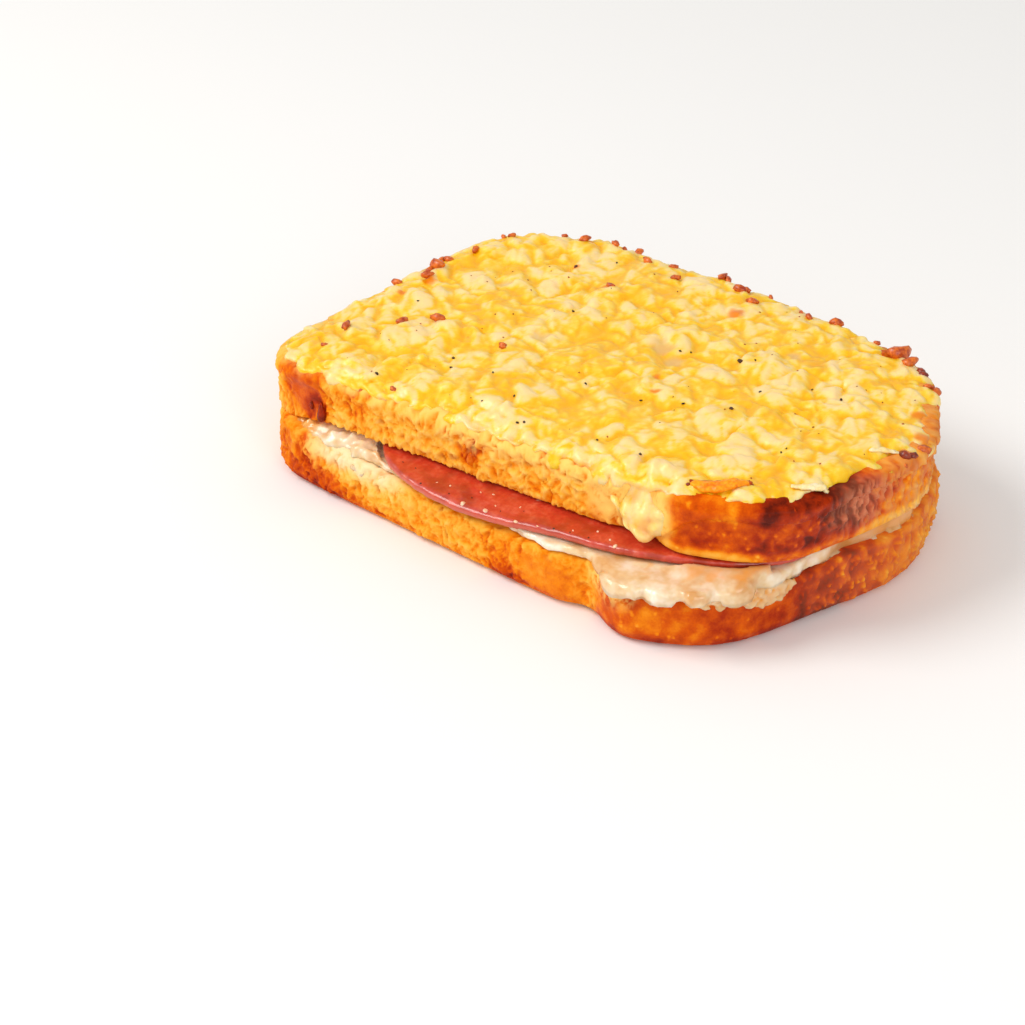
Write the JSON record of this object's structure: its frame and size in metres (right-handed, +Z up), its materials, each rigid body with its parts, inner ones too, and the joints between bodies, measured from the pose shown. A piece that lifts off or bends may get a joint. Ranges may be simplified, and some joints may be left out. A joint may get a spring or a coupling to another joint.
{
  "type": "croque monsieur",
  "caption": "Toasted sandwich of tin-loaf bread with ham and bechamel, topped with melted grated cheese.",
  "frame": {"origin": "below the middle of the sandwich's box, on the surface it rests on", "axes": "+X from the loaf's base crust to its risen crown, -Y the side where the ham leans out, +Z up through the layers"},
  "size_m": [0.1516, 0.1068, 0.0361],
  "materials": {
    "bread": "golden toasted crumb, darker crust at the crown",
    "bechamel": "glossy white sauce",
    "ham": "moist pink ham with a darker rim",
    "cheese": "melted yellow cheese with cream and browned spots"
  },
  "bodies": {
    "root": {"bread_lower": "bread", "bechamel": "bechamel", "ham": "ham", "bread_upper": "bread", "cheese_topping": "cheese"}
  },
  "joints": []
}
